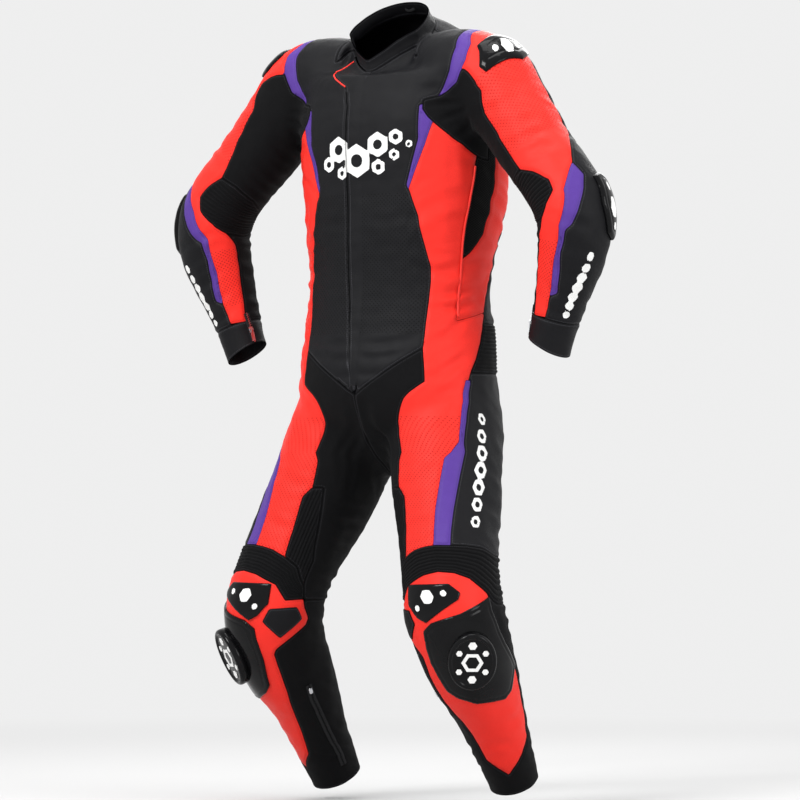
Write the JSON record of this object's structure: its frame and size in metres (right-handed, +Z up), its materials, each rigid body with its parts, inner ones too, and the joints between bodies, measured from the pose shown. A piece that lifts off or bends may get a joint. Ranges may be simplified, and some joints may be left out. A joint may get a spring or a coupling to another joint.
{
  "type": "motorcycle race suit",
  "caption": "One-piece leather race suit for motorcycling, shown as worn with nobody in it: hollow body, bent sleeves and knees, stretch panels, hard shoulder, elbow and knee guards.",
  "frame": {"origin": "middle of the neck at the height of the shoulder line, where the wearer's shoulders hold the suit up", "axes": "+Z up, +X to the wearer's left, -Y to the wearer's front"},
  "size_m": [0.8693, 0.3523, 1.363],
  "materials": {
    "black_leather": "fine-grained black cowhide, soft sheen, perforated on the fronts and sleeves",
    "red_leather": "bright red-orange cowhide, fine grain, perforated on the thighs",
    "purple_leather": "purple cowhide, fine grain",
    "stretch_cloth": "matt black woven stretch fabric, ribbed at elbows, knees and lower back",
    "mesh_cloth": "open black mesh",
    "black_plastic": "moulded black plastic with rounded edges",
    "zip_metal": "bright die-cast metal"
  },
  "bodies": {
    "suit": {"arm_inner_left": "stretch_cloth", "arm_inner_right": "stretch_cloth", "arm_outer_left": "black_leather", "arm_outer_right": "black_leather", "back": "black_leather", "calf_left": "stretch_cloth", "calf_right": "stretch_cloth", "collar": "black_leather", "crotch_left": "stretch_cloth", "crotch_right": "stretch_cloth", "cuff_left": "black_leather", "cuff_right": "black_leather", "cuff_slider_left": "zip_metal", "cuff_slider_right": "zip_metal", "elbow_ribs_left": "stretch_cloth", "elbow_ribs_right": "stretch_cloth", "elbow_slider_left": "black_plastic", "elbow_slider_right": "black_plastic", "forearm_purple_left": "purple_leather", "forearm_purple_right": "purple_leather", "front_left": "black_leather", "front_right": "black_leather", "grip_left": "stretch_cloth", "grip_right": "stretch_cloth", "hanger_loop": "stretch_cloth", "knee_badge_left": "black_plastic", "knee_badge_right": "black_plastic", "knee_inset_left": "black_leather", "knee_inset_right": "black_leather", "knee_puck_left": "black_plastic", "knee_puck_right": "black_plastic", "knee_ribs_left": "stretch_cloth", "knee_ribs_right": "stretch_cloth", "knee_shin_left": "red_leather", "knee_shin_right": "red_leather", "lumbar": "stretch_cloth", "mesh_wedge_left": "mesh_cloth", "mesh_wedge_right": "mesh_cloth", "seat": "black_leather", "shoulder_cup_left": "black_plastic", "shoulder_cup_right": "black_plastic", "side_back_left": "red_leather", "side_back_right": "red_leather", "side_thigh_left": "red_leather", "side_thigh_right": "red_leather", "sleeve_red_left": "red_leather", "sleeve_red_right": "red_leather", "slider_base_left": "black_plastic", "slider_base_right": "black_plastic", "stripe_chest_left": "purple_leather", "stripe_chest_right": "purple_leather", "stripe_shoulder_left": "purple_leather", "stripe_shoulder_right": "purple_leather", "thigh_outer_left": "black_leather", "thigh_outer_right": "black_leather", "thigh_purple_left": "purple_leather", "thigh_purple_right": "purple_leather", "zip_flap": "black_leather"},
    "left_pull_tab": {"cuff_pull_left": "zip_metal"},
    "right_pull_tab": {"cuff_pull_right": "zip_metal"}
  },
  "joints": [
    {"name": "left_pull_swing", "type": "hinge", "parent": "suit", "child": "left_pull_tab", "pos_m": [0.28793, -0.00347, -0.48111], "axis": [-0.4352, 0.8745, 0.2141], "range_deg": [0, 110]},
    {"name": "right_pull_swing", "type": "hinge", "parent": "suit", "child": "right_pull_tab", "pos_m": [-0.28793, -0.00347, -0.48111], "axis": [-0.4352, -0.8745, -0.2141], "range_deg": [0, 110]}
  ]
}
